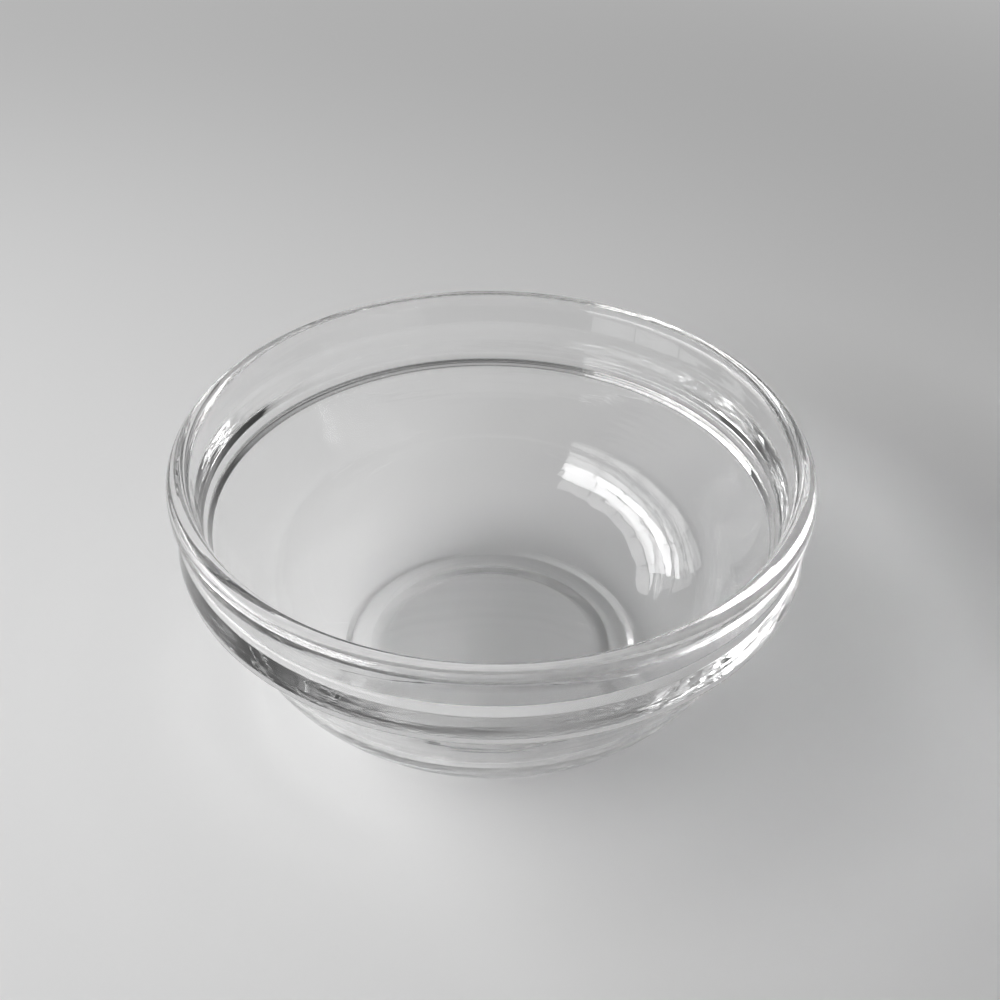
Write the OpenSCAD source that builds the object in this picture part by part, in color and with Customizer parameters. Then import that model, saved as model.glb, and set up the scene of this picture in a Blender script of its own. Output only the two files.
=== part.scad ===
// Stacking prep bowl in clear pressed glass, one piece, stood on its foot ring.
// The whole bowl is one outline turned about the vertical axis: a flat foot ring
// with a shallow recess under the base, a round belly, an upright collar that
// stands proud of the belly, and a thick rolled rim. The ledge under the collar
// rests on the rim of the bowl below when two bowls are stacked.
// The origin is the centre of the foot ring, on the surface that the bowl stands on.

/* [Overall] */
// Outer diameter at the rim
rim_d = 105; // [94:1:150]
// Height from the foot to the top of the rim
bowl_h = 45; // [38:0.5:58]

/* [Rim and collar] */
// Thickness of the rolled rim
rim_wall = 3.6; // [2.6:0.1:5]
// Height of the rim bead, from its top to the crease under it
bead_h = 6.4; // [5:0.1:8.4]
// Depth of the crease, in from the widest point of the rim
crease_in = 1.0; // [0.4:0.1:1.6]
// Height of the collar, from the top of the rim to the ledge under it
collar_h = 14.7; // [12:0.1:18]
// How far the foot of the collar stays inside the widest point of the rim
collar_in = 0.5; // [0:0.1:1.2]
// Rounding of the collar's lower edge
collar_round = 1.4; // [0.6:0.1:2]

/* [Belly] */
// Gap all round between the belly and the rim of the bowl below, when stacked
nest_clearance = 0.7; // [0.3:0.1:1.5]
// Wall thickness of the belly, just under the ledge
wall = 2.5; // [1.8:0.1:3.6]
// Wall thickness of the belly where it meets the foot ring
foot_wall = 3.8; // [2.8:0.1:4.8]
// Slope of the upper belly, in degrees from the horizontal
belly_slope = 71; // [64:1:78]
// Radius of the belly's outer curve
belly_r = 28.5; // [20:0.5:32]
// Radius of the belly's inner curve
belly_in_r = 22; // [16:0.5:26]
// Slope of the belly where it meets the foot ring, in degrees from the horizontal
foot_slope = 22; // [14:1:32]
// Rounding in the corner under the ledge
ledge_round = 0.7; // [0.3:0.1:1.1]

/* [Foot and floor] */
// Outer diameter of the foot ring
foot_d = 51; // [46:0.2:60]
// Height of the foot ring's side, up to the belly
foot_h = 1.5; // [0.8:0.1:2.4]
// Diameter of the flat recess under the base
recess_d = 37.6; // [28:0.2:43]
// Depth of the recess
recess_depth = 0.55; // [0.3:0.05:1.2]
// Width of the shallow bevel round the recess
recess_bevel = 2.8; // [1:0.1:3.4]
// Thickness of the floor, from the foot's plane up
floor_h = 3.6; // [2.8:0.1:6]

/* [Inside of the collar] */
// Draft of the collar's inside, from the rim down to the belly
inner_draft = 1.2; // [0.6:0.1:2]
// Rounding of the bend where the collar's inside runs into the belly
bend_round = 4; // [1.5:0.1:6]

/* [Hidden] */
// Largest gap between a true arc and its chords
arc_tol = 0.008;
// Roundings of the foot ring's edges and of the recess
foot_round = 0.7;
recess_round = 2;
// Roundings of the crease under the bead and of the bead's side
crease_round = 1.4;
bead_round = 3.2;
// Rounding where the inner curve meets the flat floor
floor_round = 12;
// Share of the bead's height at which its side turns in to the crease
bead_turn_share = 0.45;
// Lean of the foot ring's side, as a share of its height
foot_lean_share = 0.4;
// Largest share of a side that the roundings at its two ends may take up
side_share = 0.98;

rim_r = rim_d / 2;
rim_in_r = rim_r - rim_wall;
rim_round = rim_wall / 2;
belly_top_r = rim_in_r - nest_clearance;
ledge_z = bowl_h - collar_h;
collar_in_r = rim_in_r - inner_draft;
recess_r = recess_d / 2;
foot_r = foot_d / 2;

// The belly's two ends, outside and inside, and the corners that its curves round
foot_top = [foot_r + foot_h * foot_lean_share, foot_h];
belly_top = [belly_top_r, ledge_z];
floor_side = foot_top + foot_wall * [-sin(foot_slope), cos(foot_slope)];
wall_side = belly_top + wall * [-sin(belly_slope), cos(belly_slope)];
outer_bend = crossing(foot_top, foot_slope, belly_top, belly_slope);
inner_bend = crossing(floor_side, foot_slope, wall_side, belly_slope);
floor_edge = at_height(floor_side, foot_slope, floor_h);
collar_bend = at_radius(wall_side, belly_slope, collar_in_r);

function unit(v) = v / norm(v);

// Where the line through p at the slope a meets the line through q at the slope b
function crossing(p, a, q, b) =
    let (w = q - p,
         t = (w.x * sin(b) - w.y * cos(b)) / (cos(a) * sin(b) - sin(a) * cos(b)))
    p + t * [cos(a), sin(a)];

// Points at the height z and at the radius r on the line through p at the slope a
function at_height(p, a, z) = [p.x + (z - p.y) / tan(a), z];
function at_radius(p, a, r) = [r, p.y + (r - p.x) * tan(a)];

// Angle through which the outline turns at the corner p, between p0 and p1
function turn_at(p0, p, p1) = acos(max(-1, min(1, unit(p - p0) * unit(p1 - p))));

// Points of the arc that rounds the corner p between p0 and p1 to the radius r
function corner_arc(p0, p, p1, r) =
    let (u = unit(p0 - p), v = unit(p1 - p), turn = turn_at(p0, p, p1),
         centre = p + unit(u + v) * r / cos(turn / 2),
         from = p + u * r * tan(turn / 2) - centre,
         way = sign(u.y * v.x - u.x * v.y),
         steps = max(2, ceil(turn / (2 * acos(1 - arc_tol / r)))))
    [for (i = [0 : steps])
        let (a = way * turn * i / steps)
        centre + [from.x * cos(a) - from.y * sin(a), from.x * sin(a) + from.y * cos(a)]];

// Outline through corners of the form [radius, height, rounding], with sharp ends.
// Two roundings that meet on a side too short for both are reduced alike.
function rounded(corners) =
    let (last = len(corners) - 1,
         p = [for (c = corners) [c.x, c.y]],
         reach = [for (i = [0 : last])
             i == 0 || i == last ? 0
                 : corners[i].z * tan(turn_at(p[i - 1], p[i], p[i + 1]) / 2)],
         fit = [for (i = [0 : last - 1])
             min(1, side_share * norm(p[i + 1] - p[i]) / max(arc_tol, reach[i] + reach[i + 1]))])
    [p[0],
     for (i = [1 : last - 1])
         each corner_arc(p[i - 1], p[i], p[i + 1], corners[i].z * min(fit[i - 1], fit[i])),
     p[last]];

// Underside, outer belly and collar, from the centre of the base up to the crease
outer_corners = [
    [0, recess_depth, 0],
    [recess_r, recess_depth, recess_round],
    [recess_r + recess_bevel, 0, recess_round],
    [foot_r, 0, foot_round],
    [foot_top.x, foot_top.y, foot_round],
    [outer_bend.x, outer_bend.y, belly_r],
    [belly_top.x, belly_top.y, ledge_round],
    [rim_r - collar_in, ledge_z, collar_round],
    [rim_r - crease_in, bowl_h - bead_h, crease_round]];

// Rolled rim, from the bead's side over the top
rim_corners = [
    [rim_r, bowl_h - bead_h * bead_turn_share, bead_round],
    [rim_r, bowl_h, rim_round],
    [rim_in_r, bowl_h, rim_round]];

// Inside of the collar, inner belly and floor, down to the centre
inner_corners = [
    [collar_bend.x, collar_bend.y, bend_round],
    [inner_bend.x, inner_bend.y, belly_in_r],
    [floor_edge.x, floor_edge.y, floor_round],
    [0, floor_h, 0]];

module bowl() {
    color([0.86, 0.89, 0.88, 0.35])
        rotate_extrude($fn = 180)
            polygon(rounded(concat(outer_corners, rim_corners, inner_corners)));
}

bowl();
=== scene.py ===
import logging
import math
from dataclasses import dataclass, field
from enum import Enum

import bmesh
import bpy
from mathutils import Matrix, Vector


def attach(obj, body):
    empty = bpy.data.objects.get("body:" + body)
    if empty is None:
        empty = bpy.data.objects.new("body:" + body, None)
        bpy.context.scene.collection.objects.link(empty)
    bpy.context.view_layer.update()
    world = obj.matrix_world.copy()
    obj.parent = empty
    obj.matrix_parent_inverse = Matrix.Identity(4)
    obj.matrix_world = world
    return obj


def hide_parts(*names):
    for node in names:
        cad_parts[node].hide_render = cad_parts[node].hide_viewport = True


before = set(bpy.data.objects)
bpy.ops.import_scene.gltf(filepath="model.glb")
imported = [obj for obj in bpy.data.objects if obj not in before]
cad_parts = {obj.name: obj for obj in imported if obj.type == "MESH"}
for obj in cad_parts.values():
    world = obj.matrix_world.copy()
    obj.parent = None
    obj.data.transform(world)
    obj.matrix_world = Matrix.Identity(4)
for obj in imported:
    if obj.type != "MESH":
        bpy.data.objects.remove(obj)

LOG = logging.getLogger("prep_bowl")


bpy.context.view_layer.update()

# Brightness of the plain background, which the far floor fades into
BACKDROP = 0.5

# Points closer than this are one point, in metres
MERGE_GAP = 1e-6

# Light bounces that clear glass and matt surfaces get
GLASS_BOUNCES = 40
MATT_BOUNCES = 8


class Turn(Enum):
    """Axes that a turned outline uses, as unit vectors."""

    BOWL_AXIS = (0.0, 0.0, 1.0)
    PAGE = (0.0, 1.0, 0.0)


def towards(turn: float, lift: float) -> Vector:
    """Finds the direction from the bowl to a place round it.

    Args:
        turn: Angle from +X towards +Y, in radians.
        lift: Angle over the horizon, in radians.

    Returns:
        The direction, one metre long.
    """
    level = math.cos(lift)
    return Vector((math.cos(turn) * level, math.sin(turn) * level, math.sin(lift)))


def maths(tree: bpy.types.NodeTree, operation: str) -> bpy.types.Node:
    """Adds a node that does one sum on numbers.

    Args:
        tree: The node tree that gets the node.
        operation: Blender's name for the sum.

    Returns:
        The new node.
    """
    node = tree.nodes.new("ShaderNodeMath")
    node.operation = operation
    return node


def vector_maths(tree: bpy.types.NodeTree, operation: str) -> bpy.types.Node:
    """Adds a node that does one sum on vectors.

    Args:
        tree: The node tree that gets the node.
        operation: Blender's name for the sum.

    Returns:
        The new node.
    """
    node = tree.nodes.new("ShaderNodeVectorMath")
    node.operation = operation
    return node


@dataclass(frozen=True)
class Corner:
    """One corner of a turned outline, which an arc rounds.

    Attributes:
        radius: Distance from the bowl's axis, in metres.
        height: Height over the foot's plane, in metres.
        rounding: Radius of the arc that rounds the corner, or 0 for a sharp one.
    """

    radius: float
    height: float
    rounding: float = 0.0

    @property
    def place(self) -> Vector:
        """The corner in the plane of the outline, where Y is 0."""
        return Vector((self.radius, 0.0, self.height))


@dataclass
class TurnedOutline:
    """An outline drawn with arcs, which a spin about the Z axis turns into a solid.

    Attributes:
        corners: The corners in order, from the axis out and back to the axis.
        arc_step: Longest chord of a rounding, in metres.
        straight_step: Longest piece of a straight side, in metres.
        finest: Smallest angle between two chords of a rounding, in degrees.
        rounds: Steps of the spin about the axis.
        side_share: Largest share of a side that the roundings at its ends may take.
    """

    corners: list[Corner]
    arc_step: float = 0.00045
    straight_step: float = 0.00085
    finest: float = 5.0
    rounds: int = 288
    side_share: float = 0.98

    def reach(self, index: int) -> float:
        """Distance from a corner to where its rounding starts.

        Args:
            index: The corner's place in the list.

        Returns:
            The distance in metres, 0 for the two ends.
        """
        if index in (0, len(self.corners) - 1):
            return 0.0
        return self.corners[index].rounding * math.tan(self.turn(index) / 2)

    def turn(self, index: int) -> float:
        """Angle through which the outline turns at a corner, in radians."""
        before, here, after = (self.corners[index + k].place for k in (-1, 0, 1))
        return (here - before).angle(after - here)

    def fitted(self, index: int) -> float:
        """Rounding of a corner after it shares its two sides with its neighbours.

        Args:
            index: The corner's place in the list.

        Returns:
            The radius of the arc, in metres.
        """
        shares = [1.0]
        for start in (index - 1, index):
            ends = (self.corners[start].place, self.corners[start + 1].place)
            taken = self.reach(start) + self.reach(start + 1)
            length = (ends[1] - ends[0]).length
            shares.append(self.side_share * length / max(taken, MERGE_GAP))
        return self.corners[index].rounding * min(shares)

    def draw_rounding(self, sheet: bmesh.types.BMesh, index: int) -> list[bmesh.types.BMVert]:
        """Draws one corner's arc by spinning a single point about the arc's centre.

        Args:
            sheet: The mesh that the outline is drawn in.
            index: The corner's place in the list.

        Returns:
            The points of the arc, in the outline's order.
        """
        here = self.corners[index].place
        if index in (0, len(self.corners) - 1) or self.fitted(index) <= 0.0:
            return [sheet.verts.new(here)]
        back = (self.corners[index - 1].place - here).normalized()
        ahead = (self.corners[index + 1].place - here).normalized()
        radius = self.fitted(index)
        turn = self.turn(index)
        centre = here + (back + ahead).normalized() * (radius / math.cos(turn / 2))
        page = Vector(Turn.PAGE.value)
        way = 1.0 if back.cross(ahead).dot(page) < 0.0 else -1.0
        by_length = math.ceil(radius * turn / self.arc_step)
        by_angle = math.ceil(turn / math.radians(self.finest))
        steps = max(2, by_length, by_angle)
        start = sheet.verts.new(here + back * radius * math.tan(turn / 2))
        bmesh.ops.spin(sheet, geom=[start], cent=centre, axis=page * way, angle=turn,
                       steps=steps, use_merge=False)
        return self.walk(start)

    @staticmethod
    def walk(start: bmesh.types.BMVert) -> list[bmesh.types.BMVert]:
        """Follows a chain of edges from one end to the other.

        Args:
            start: The point at the chain's first end.

        Returns:
            The points of the chain, in order.
        """
        chain, last = [start], None
        while True:
            neighbours = [edge.other_vert(chain[-1]) for edge in chain[-1].link_edges]
            onward = [point for point in neighbours if point is not last]
            if not onward:
                return chain
            last = chain[-1]
            chain.append(onward[0])

    def draw(self) -> bmesh.types.BMesh:
        """Draws the whole outline as a chain of edges.

        Returns:
            A new mesh that holds only the outline.
        """
        sheet = bmesh.new()
        sides, end = [], None
        for index in range(len(self.corners)):
            arc = self.draw_rounding(sheet, index)
            if end is not None:
                sides.append(sheet.edges.new((end, arc[0])))
            end = arc[-1]
        for side in sides:
            cuts = math.ceil(side.calc_length() / self.straight_step) - 1
            if cuts > 0:
                bmesh.ops.subdivide_edges(sheet, edges=[side], cuts=cuts)
        return sheet

    def solid(self) -> bmesh.types.BMesh:
        """Turns the outline about the bowl's axis into a closed solid.

        Returns:
            The solid, with its poles closed and its faces pointing outwards.
        """
        sheet = self.draw()
        bmesh.ops.spin(sheet, geom=sheet.verts[:] + sheet.edges[:], cent=(0.0, 0.0, 0.0),
                       axis=Turn.BOWL_AXIS.value, angle=math.tau, steps=self.rounds, use_merge=True)
        bmesh.ops.remove_doubles(sheet, verts=sheet.verts[:], dist=MERGE_GAP)
        bmesh.ops.dissolve_degenerate(sheet, dist=MERGE_GAP / 10, edges=sheet.edges[:])
        bmesh.ops.recalc_face_normals(sheet, faces=sheet.faces[:])
        return sheet


@dataclass(frozen=True)
class PressedRipple:
    """Node group for the slight unevenness that pressing leaves in glass.

    Slow waves run over the whole surface, and finer rings follow the mould round the wall.

    Attributes:
        name: Name of the node group.
        detail: How much finer unevenness the waves and rings carry.
        level_part: Factors that leave only the level part of a position.
    """

    name: str = "pressed ripple"
    detail: float = 1.0
    level_part: tuple[float, float, float] = (1.0, 1.0, 0.0)

    def group(self) -> bpy.types.NodeTree:
        """Builds the group, or finds the one that is there.

        Returns:
            The node group, which turns a position into a height in metres.
        """
        if self.name in bpy.data.node_groups:
            return bpy.data.node_groups[self.name]
        tree = bpy.data.node_groups.new(self.name, "ShaderNodeTree")
        face = tree.interface
        face.new_socket("Position", in_out="INPUT", socket_type="NodeSocketVector")
        for title in ("Wave size", "Wave depth", "Ring size", "Ring length", "Ring depth"):
            face.new_socket(title, in_out="INPUT", socket_type="NodeSocketFloat")
        face.new_socket("Height", in_out="OUTPUT", socket_type="NodeSocketFloat")
        nodes, links = tree.nodes, tree.links
        inside, outside = nodes.new("NodeGroupInput"), nodes.new("NodeGroupOutput")
        waves, rings = nodes.new("ShaderNodeTexNoise"), nodes.new("ShaderNodeTexNoise")
        waves.inputs["Detail"].default_value = self.detail
        rings.inputs["Detail"].default_value = self.detail
        rings.inputs["Scale"].default_value = 1.0
        links.new(inside.outputs["Position"], waves.inputs["Vector"])
        links.new(inside.outputs["Wave size"], waves.inputs["Scale"])
        # The rings change slowly with the direction from the axis and fast with the height
        flat = vector_maths(tree, "MULTIPLY")
        flat.inputs[1].default_value = self.level_part
        around = vector_maths(tree, "NORMALIZE")
        slowly = vector_maths(tree, "SCALE")
        parts = nodes.new("ShaderNodeSeparateXYZ")
        rise = maths(tree, "MULTIPLY")
        upright = nodes.new("ShaderNodeCombineXYZ")
        ringed = vector_maths(tree, "ADD")
        links.new(inside.outputs["Position"], flat.inputs[0])
        links.new(flat.outputs["Vector"], around.inputs[0])
        links.new(around.outputs["Vector"], slowly.inputs[0])
        links.new(inside.outputs["Ring length"], slowly.inputs["Scale"])
        links.new(inside.outputs["Position"], parts.inputs[0])
        links.new(parts.outputs["Z"], rise.inputs[0])
        links.new(inside.outputs["Ring size"], rise.inputs[1])
        links.new(rise.outputs["Value"], upright.inputs["Z"])
        links.new(slowly.outputs["Vector"], ringed.inputs[0])
        links.new(upright.outputs["Vector"], ringed.inputs[1])
        links.new(ringed.outputs["Vector"], rings.inputs["Vector"])
        deep_waves = maths(tree, "MULTIPLY")
        both = maths(tree, "MULTIPLY_ADD")
        links.new(waves.outputs["Fac"], deep_waves.inputs[0])
        links.new(inside.outputs["Wave depth"], deep_waves.inputs[1])
        links.new(rings.outputs["Fac"], both.inputs[0])
        links.new(inside.outputs["Ring depth"], both.inputs[1])
        links.new(deep_waves.outputs["Value"], both.inputs[2])
        links.new(both.outputs["Value"], outside.inputs["Height"])
        return tree


@dataclass(frozen=True)
class ClearGlass:
    """Clear, fire-polished pressed glass.

    Attributes:
        tint: Colour of light that has passed one surface, where the glass is clean.
        film: The same colour where a thin film from washing lies on it.
        ior: Refractive index of soda-lime glass.
        wave_size: Waves to the metre.
        wave_depth: Depth of the waves, in metres.
        ring_size: Rings to the metre of height.
        ring_length: How often the rings change on their way round.
        ring_depth: Depth of the rings, in metres.
        haze_size: Patches of film to the metre.
        haze_detail: How much finer patches the film has.
        haze_start: Amount of film at which the glass starts to dull.
        haze_full: Amount of film at which the glass is dullest.
        dullest: Roughness where the film is thickest.
    """

    tint: tuple[float, float, float, float] = (0.985, 0.985, 0.985, 1.0)
    film: tuple[float, float, float, float] = (0.955, 0.955, 0.955, 1.0)
    ior: float = 1.5
    wave_size: float = 110.0
    wave_depth: float = 0.00003
    ring_size: float = 800.0
    ring_length: float = 1.2
    ring_depth: float = 0.000015
    haze_size: float = 60.0
    haze_detail: float = 4.0
    haze_start: float = 0.5
    haze_full: float = 0.8
    dullest: float = 0.03

    def add_ripple(self, tree: bpy.types.NodeTree,
                   place: bpy.types.NodeSocket) -> bpy.types.NodeSocket:
        """Adds the unevenness of the surface to the glass.

        Args:
            tree: The material's nodes.
            place: Position on the piece.

        Returns:
            The socket that holds the surface's direction.
        """
        ripple = tree.nodes.new("ShaderNodeGroup")
        ripple.node_tree = PressedRipple().group()
        ripple.inputs["Wave size"].default_value = self.wave_size
        ripple.inputs["Wave depth"].default_value = self.wave_depth
        ripple.inputs["Ring size"].default_value = self.ring_size
        ripple.inputs["Ring length"].default_value = self.ring_length
        ripple.inputs["Ring depth"].default_value = self.ring_depth
        bump = tree.nodes.new("ShaderNodeBump")
        bump.inputs["Strength"].default_value = 1.0
        bump.inputs["Distance"].default_value = 1.0
        tree.links.new(place, ripple.inputs["Position"])
        tree.links.new(ripple.outputs["Height"], bump.inputs["Height"])
        return bump.outputs["Normal"]

    def material(self) -> bpy.types.Material:
        """Builds the glass.

        Returns:
            A material whose tint, roughness and surface vary over the piece.
        """
        made = bpy.data.materials.new("clear pressed glass")
        made.use_nodes = True
        nodes, links = made.node_tree.nodes, made.node_tree.links
        shader = nodes["Principled BSDF"]
        shader.inputs["IOR"].default_value = self.ior
        shader.inputs["Transmission Weight"].default_value = 1.0
        shader.inputs["Metallic"].default_value = 0.0
        place = nodes.new("ShaderNodeTexCoord").outputs["Object"]
        links.new(self.add_ripple(made.node_tree, place), shader.inputs["Normal"])
        haze = nodes.new("ShaderNodeTexNoise")
        haze.inputs["Scale"].default_value = self.haze_size
        haze.inputs["Detail"].default_value = self.haze_detail
        links.new(place, haze.inputs["Vector"])
        colour = nodes.new("ShaderNodeMix")
        colour.data_type = "RGBA"
        colour.inputs["A"].default_value = self.tint
        colour.inputs["B"].default_value = self.film
        links.new(haze.outputs["Fac"], colour.inputs["Factor"])
        links.new(colour.outputs["Result"], shader.inputs["Base Color"])
        polish = nodes.new("ShaderNodeMapRange")
        polish.inputs["From Min"].default_value = self.haze_start
        polish.inputs["From Max"].default_value = self.haze_full
        polish.inputs["To Min"].default_value = 0.0
        polish.inputs["To Max"].default_value = self.dullest
        links.new(haze.outputs["Fac"], polish.inputs["Value"])
        links.new(polish.outputs["Result"], shader.inputs["Roughness"])
        return made


@dataclass
class Bowl:
    """The pressed-glass bowl: foot ring, belly, collar, rolled rim and inside.

    Lengths are in metres and angles in degrees, with the same names as in the solid's source.
    The foot ring's side and the edge of the recess are a little crisper here than there.
    """

    rim_d: float = 0.105
    bowl_h: float = 0.045
    rim_wall: float = 0.0036
    bead_h: float = 0.0064
    crease_in: float = 0.001
    collar_h: float = 0.0147
    collar_in: float = 0.0005
    collar_round: float = 0.0014
    nest_clearance: float = 0.0007
    wall: float = 0.0025
    foot_wall: float = 0.0038
    belly_slope: float = 71.0
    belly_r: float = 0.0285
    belly_in_r: float = 0.022
    foot_slope: float = 22.0
    ledge_round: float = 0.0007
    foot_d: float = 0.051
    foot_h: float = 0.0011
    foot_lean: float = 0.0011
    foot_round: float = 0.0006
    recess_d: float = 0.0376
    recess_depth: float = 0.00055
    recess_bevel: float = 0.0028
    recess_round: float = 0.001
    floor_h: float = 0.0036
    floor_round: float = 0.012
    inner_draft: float = 0.0012
    bend_round: float = 0.004
    crease_round: float = 0.0014
    bead_round: float = 0.0032
    bead_turn_share: float = 0.45
    glass: ClearGlass = field(default_factory=ClearGlass)

    @staticmethod
    def along(slope: float) -> Vector:
        """Direction of a line in the outline's plane at a slope in degrees."""
        return Vector((math.cos(math.radians(slope)), 0.0, math.sin(math.radians(slope))))

    @staticmethod
    def square_to(slope: float) -> Vector:
        """Direction into the wall, square to a line at a slope in degrees."""
        return Vector((-math.sin(math.radians(slope)), 0.0, math.cos(math.radians(slope))))

    def crossing(self, first: Vector, first_slope: float,
                 second: Vector, second_slope: float) -> Vector:
        """Finds where two lines of the outline cross.

        Args:
            first: A point on the first line.
            first_slope: Slope of the first line, in degrees.
            second: A point on the second line.
            second_slope: Slope of the second line, in degrees.

        Returns:
            The point where they cross.
        """
        one, two, gap = self.along(first_slope), self.along(second_slope), second - first
        share = (gap.x * two.z - gap.z * two.x) / (one.x * two.z - one.z * two.x)
        return first + one * share

    def outline(self) -> TurnedOutline:
        """Lays out the corners from the centre of the base, round the rim and back.

        Returns:
            The outline that is turned into the bowl.
        """
        rim_r, recess_r, foot_r = self.rim_d / 2, self.recess_d / 2, self.foot_d / 2
        rim_in_r = rim_r - self.rim_wall
        ledge_z = self.bowl_h - self.collar_h
        foot_top = Vector((foot_r + self.foot_lean, 0.0, self.foot_h))
        belly_top = Vector((rim_in_r - self.nest_clearance, 0.0, ledge_z))
        floor_side = foot_top + self.square_to(self.foot_slope) * self.foot_wall
        wall_side = belly_top + self.square_to(self.belly_slope) * self.wall
        outer_bend = self.crossing(foot_top, self.foot_slope, belly_top, self.belly_slope)
        inner_bend = self.crossing(floor_side, self.foot_slope, wall_side, self.belly_slope)
        floor = Vector((0.0, 0.0, self.floor_h))
        floor_edge = self.crossing(floor_side, self.foot_slope, floor, 0.0)
        collar_in = Vector((rim_in_r - self.inner_draft, 0.0, 0.0))
        collar_bend = self.crossing(wall_side, self.belly_slope, collar_in, 90.0)
        underside = [
            Corner(0.0, self.recess_depth),
            Corner(recess_r, self.recess_depth, self.recess_round),
            Corner(recess_r + self.recess_bevel, 0.0, self.recess_round),
            Corner(foot_r, 0.0, self.foot_round),
            Corner(foot_top.x, foot_top.z, self.foot_round),
        ]
        outside = [
            Corner(outer_bend.x, outer_bend.z, self.belly_r),
            Corner(belly_top.x, belly_top.z, self.ledge_round),
            Corner(rim_r - self.collar_in, ledge_z, self.collar_round),
            Corner(rim_r - self.crease_in, self.bowl_h - self.bead_h, self.crease_round),
        ]
        rim = [
            Corner(rim_r, self.bowl_h - self.bead_h * self.bead_turn_share, self.bead_round),
            Corner(rim_r, self.bowl_h, self.rim_wall / 2),
            Corner(rim_in_r, self.bowl_h, self.rim_wall / 2),
        ]
        inside = [
            Corner(collar_bend.x, collar_bend.z, self.bend_round),
            Corner(inner_bend.x, inner_bend.z, self.belly_in_r),
            Corner(floor_edge.x, floor_edge.z, self.floor_round),
            Corner(0.0, self.floor_h),
        ]
        return TurnedOutline(underside + outside + rim + inside)

    def build(self) -> bpy.types.Object:
        """Makes the bowl's mesh, dresses it and puts it in place of its solid.

        Returns:
            The finished bowl.
        """
        solid = self.outline().solid()
        mesh = bpy.data.meshes.new("glass_bowl")
        solid.to_mesh(mesh)
        solid.free()
        mesh.shade_smooth()
        mesh.materials.append(self.glass.material())
        bowl = bpy.data.objects.new("glass_bowl", mesh)
        bpy.context.collection.objects.link(bowl)
        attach(bowl, "root")
        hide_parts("bowl")
        return bowl


@dataclass(frozen=True)
class PaleFloor:
    """The plain pale floor that the bowl stands on, which runs out into the backdrop.

    Attributes:
        half: Half of the floor's side, in metres.
        shade: Colour of the floor.
        gap: How far the floor lies below the foot, in metres.
        near: Distance from the bowl at which the floor starts to fade, in metres.
        far: Distance at which only the backdrop shows, in metres.
    """

    half: float = 3.0
    shade: tuple[float, float, float, float] = (0.82, 0.82, 0.82, 1.0)
    gap: float = 0.00005
    near: float = 0.16
    far: float = 0.5

    def material(self) -> bpy.types.Material:
        """Builds the floor's matt finish, which far from the bowl gives way to the backdrop.

        Returns:
            A matt material that only the camera and the glass see fade.
        """
        made = bpy.data.materials.new("pale floor")
        made.use_nodes = True
        nodes, links = made.node_tree.nodes, made.node_tree.links
        shader = nodes["Principled BSDF"]
        shader.inputs["Base Color"].default_value = self.shade
        shader.inputs["Roughness"].default_value = 1.0
        shader.inputs["Specular IOR Level"].default_value = 0.0
        glow = nodes.new("ShaderNodeEmission")
        glow.inputs["Strength"].default_value = BACKDROP
        place = nodes.new("ShaderNodeTexCoord")
        away = vector_maths(made.node_tree, "LENGTH")
        fade = nodes.new("ShaderNodeMapRange")
        fade.interpolation_type = "SMOOTHSTEP"
        fade.inputs["From Min"].default_value = self.near
        fade.inputs["From Max"].default_value = self.far
        seen = nodes.new("ShaderNodeLightPath")
        either = maths(made.node_tree, "MAXIMUM")
        share = maths(made.node_tree, "MULTIPLY")
        both = nodes.new("ShaderNodeMixShader")
        links.new(place.outputs["Object"], away.inputs[0])
        links.new(away.outputs["Value"], fade.inputs["Value"])
        links.new(fade.outputs["Result"], share.inputs[0])
        links.new(seen.outputs["Is Camera Ray"], either.inputs[0])
        links.new(seen.outputs["Is Transmission Ray"], either.inputs[1])
        links.new(either.outputs[0], share.inputs[1])
        links.new(share.outputs[0], both.inputs[0])
        links.new(shader.outputs[0], both.inputs[1])
        links.new(glow.outputs[0], both.inputs[2])
        links.new(both.outputs[0], nodes["Material Output"].inputs["Surface"])
        return made

    def build(self) -> bpy.types.Object:
        """Makes the floor.

        Returns:
            The floor.
        """
        sheet = bmesh.new()
        bmesh.ops.create_grid(sheet, x_segments=1, y_segments=1, size=self.half,
                              matrix=Matrix.Translation((0.0, 0.0, -self.gap)))
        mesh = bpy.data.meshes.new("floor")
        sheet.to_mesh(mesh)
        sheet.free()
        mesh.materials.append(self.material())
        floor = bpy.data.objects.new("floor", mesh)
        bpy.context.collection.objects.link(floor)
        return floor


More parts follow.
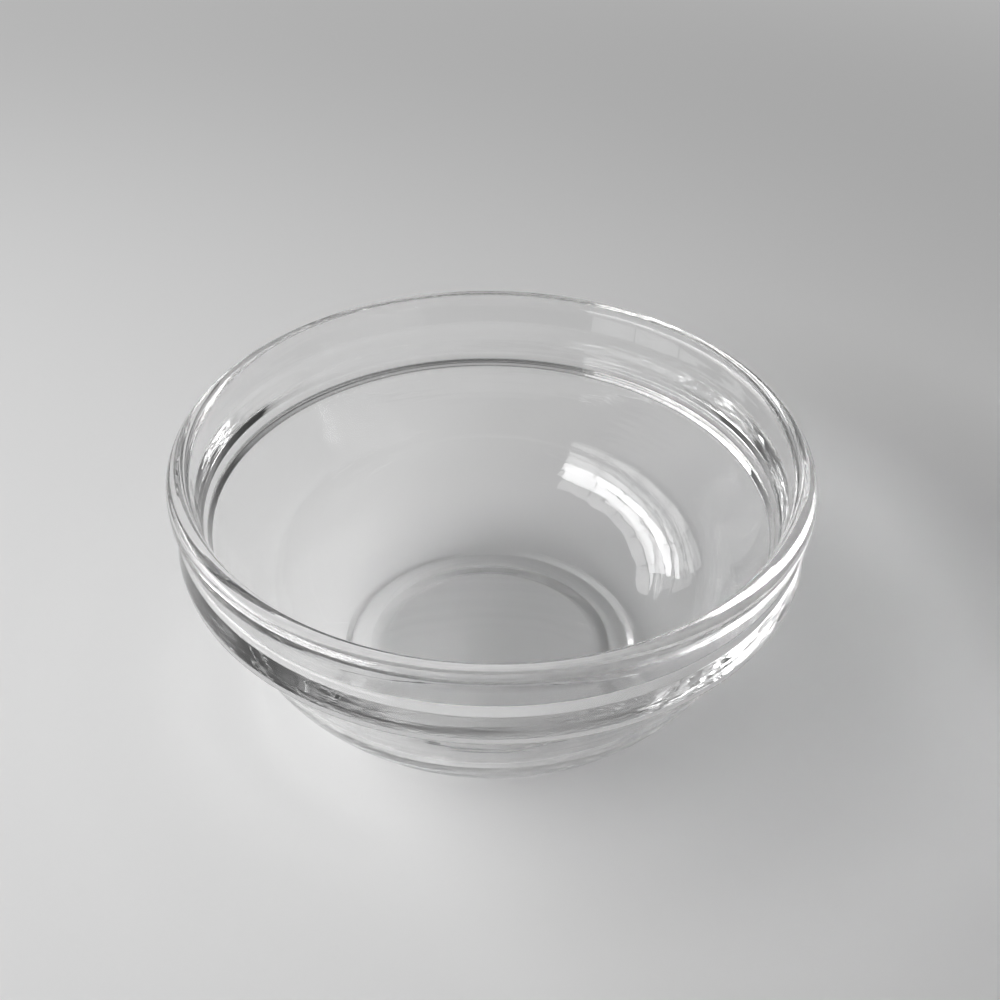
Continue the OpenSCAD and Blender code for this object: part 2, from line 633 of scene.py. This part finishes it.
@dataclass(frozen=True)
class PanedWindow:
    """A wide soft light that bends round one side, split into panes by thin bars.

    Attributes:
        azimuth: Direction of its first side from the bowl, from +X towards +Y, in degrees.
        sweep: How far it reaches round from there, in degrees.
        lowest: Elevation of its lower edge, in degrees.
        highest: Elevation of its upper edge, in degrees.
        distance: Distance of every pane from the bowl, in metres.
        bar: Width of the bars between the panes, in metres.
        spread: Full angle of the beam from a pane, in degrees.
        rows: Brightness of each row of panes, from the lowest up.
        columns: Share of that brightness that each column of panes has, from the first side.
    """

    azimuth: float = 144.0
    sweep: float = 89.5
    lowest: float = 5.0
    highest: float = 41.0
    distance: float = 1.0
    bar: float = 0.01
    spread: float = 70.0
    rows: tuple[float, ...] = (3.4, 4.0, 5.7, 14.6, 5.2)
    columns: tuple[float, ...] = (0.9, 1.0, 1.0, 0.95, 0.8)

    def side(self, angle: float) -> float:
        """Length of a pane's side that spans an angle in degrees, without its bar."""
        return 2.0 * self.distance * math.tan(math.radians(angle) / 2) - self.bar

    def pane(self, column: int, row: int) -> bpy.types.Object:
        """Hangs one pane of the light in its place, turned to the bowl.

        Args:
            column: The pane's place from the first side.
            row: The pane's place from the bottom.

        Returns:
            The pane's light.
        """
        across = self.sweep / len(self.columns)
        upright = (self.highest - self.lowest) / len(self.rows)
        turn = math.radians(self.azimuth + across * (column + 0.5))
        lift = math.radians(self.lowest + upright * (row + 0.5))
        way = towards(turn, lift)
        half = math.radians(self.spread) / 2
        lamp = bpy.data.lights.new(f"pane_{column}_{row}", "AREA")
        lamp.shape = "RECTANGLE"
        lamp.size = self.side(across) * math.cos(lift)
        lamp.size_y = self.side(upright)
        lamp.spread = 2 * half
        # Energy for one unit of brightness on one square metre, with the beam narrowed
        beam = math.pi * (1.0 - half / math.tan(half))
        lamp.energy = self.rows[row] * self.columns[column] * lamp.size * lamp.size_y * beam
        light = bpy.data.objects.new(lamp.name, lamp)
        light.visible_camera = False
        bpy.context.collection.objects.link(light)
        light.matrix_world = (Matrix.Translation(way * self.distance)
                              @ way.to_track_quat("Z", "Y").to_matrix().to_4x4())
        return light

    def build(self) -> list[bpy.types.Object]:
        """Hangs all the panes.

        Returns:
            The lights, one for each pane.
        """
        return [self.pane(column, row)
                for row in range(len(self.rows)) for column in range(len(self.columns))]


@dataclass(frozen=True)
class Lobe:
    """A soft brighter or darker part of the surroundings.

    Attributes:
        azimuth: Direction from the bowl, from +X towards +Y, in degrees.
        elevation: Direction over the horizon, in degrees.
        amount: Brightness that is added at the middle.
        tightness: Power that narrows the lobe.
    """

    azimuth: float
    elevation: float
    amount: float
    tightness: float


@dataclass(frozen=True)
class Surroundings:
    """The plain pale surroundings that fill the shadows.

    Attributes:
        level: Brightness all round.
        lobes: Brighter parts.
    """

    level: float = 0.02
    lobes: tuple[Lobe, ...] = (
        Lobe(-172, 56, 0.5, 20),
        Lobe(-105, 60, 0.15, 16),
        Lobe(-55, 4, 0.4, 12),
        Lobe(100, 33, 0.55, 10),
    )

    def build(self) -> bpy.types.World:
        """Builds the world's shading.

        Returns:
            The world.
        """
        world = bpy.data.worlds.new("surroundings")
        bpy.context.scene.world = world
        world.use_nodes = True
        tree = world.node_tree
        nodes, links = tree.nodes, tree.links
        place = nodes.new("ShaderNodeTexCoord")
        way = vector_maths(tree, "NORMALIZE")
        links.new(place.outputs["Generated"], way.inputs[0])
        total = nodes.new("ShaderNodeValue")
        total.outputs[0].default_value = self.level
        so_far = total.outputs[0]
        for lobe in self.lobes:
            facing = vector_maths(tree, "DOT_PRODUCT")
            facing.inputs[1].default_value = towards(math.radians(lobe.azimuth),
                                                     math.radians(lobe.elevation))
            front = maths(tree, "MAXIMUM")
            front.inputs[1].default_value = 0.0
            narrow = maths(tree, "POWER")
            narrow.inputs[1].default_value = lobe.tightness
            added = maths(tree, "MULTIPLY_ADD")
            added.inputs[1].default_value = lobe.amount
            links.new(way.outputs[0], facing.inputs[0])
            links.new(facing.outputs["Value"], front.inputs[0])
            links.new(front.outputs[0], narrow.inputs[0])
            links.new(narrow.outputs[0], added.inputs[0])
            links.new(so_far, added.inputs[2])
            so_far = added.outputs[0]
        seen = nodes.new("ShaderNodeLightPath")
        shown = nodes.new("ShaderNodeMix")
        shown.inputs["B"].default_value = BACKDROP
        links.new(seen.outputs["Is Camera Ray"], shown.inputs["Factor"])
        links.new(so_far, shown.inputs["A"])
        links.new(shown.outputs["Result"], nodes["Background"].inputs["Strength"])
        nodes["Background"].inputs["Color"].default_value = (1.0, 1.0, 1.0, 1.0)
        return world


@dataclass(frozen=True)
class Viewpoint:
    """The camera, at the photograph's viewing angle.

    Attributes:
        place: Place of the lens, in metres.
        pitch: Angle below the horizon, in degrees.
        yaw: Turn to the side, in degrees.
        roll: Turn about the line of sight, in degrees.
        focal: Focal length, in pixels of the picture.
        picture: Width of the picture, in pixels.
        sensor: Width of the sensor, in millimetres.
        nearest: Closest distance that the camera shows, in metres.
    """

    place: tuple[float, float, float] = (0.0, -0.196035, 0.186945)
    pitch: float = 37.86
    yaw: float = 0.31
    roll: float = -0.77
    focal: float = 1487.0
    picture: float = 1000.0
    sensor: float = 36.0
    nearest: float = 0.001

    def build(self) -> bpy.types.Object:
        """Makes the camera and makes it the scene's own.

        Returns:
            The camera.
        """
        lens = bpy.data.cameras.new("camera")
        lens.sensor_fit = "HORIZONTAL"
        lens.sensor_width = self.sensor
        lens.lens = self.focal / self.picture * self.sensor
        lens.clip_start = self.nearest
        camera = bpy.data.objects.new("camera", lens)
        bpy.context.collection.objects.link(camera)
        tip = Matrix.Rotation(math.radians(90.0 - self.pitch), 4, "X")
        swing = Matrix.Rotation(math.radians(-self.yaw), 4, "Y")
        lean = Matrix.Rotation(math.radians(-self.roll), 4, "Z")
        camera.matrix_world = Matrix.Translation(self.place) @ tip @ swing @ lean
        bpy.context.scene.camera = camera
        return camera


def set_up_render() -> None:
    """Sets how the picture is developed and how often light may bounce in the glass."""
    scene = bpy.context.scene
    scene.view_settings.view_transform = "Standard"
    scene.cycles.max_bounces = GLASS_BOUNCES
    scene.cycles.transmission_bounces = GLASS_BOUNCES
    scene.cycles.glossy_bounces = GLASS_BOUNCES
    scene.cycles.diffuse_bounces = MATT_BOUNCES
    scene.cycles.blur_glossy = 0.0


def main() -> None:
    """Builds the camera, the bowl and what stands round it, in that order."""
    logging.basicConfig(level=logging.INFO, format="%(message)s")
    set_up_render()
    Viewpoint().build()
    bowl = Bowl().build()
    LOG.info("%s: %d faces", bowl.name, len(bowl.data.polygons))
    LOG.info("made %s", PaleFloor().build().name)
    LOG.info("hung %d panes of soft light", len(PanedWindow().build()))
    LOG.info("made %s", Surroundings().build().name)


if __name__ == "__main__":
    main()
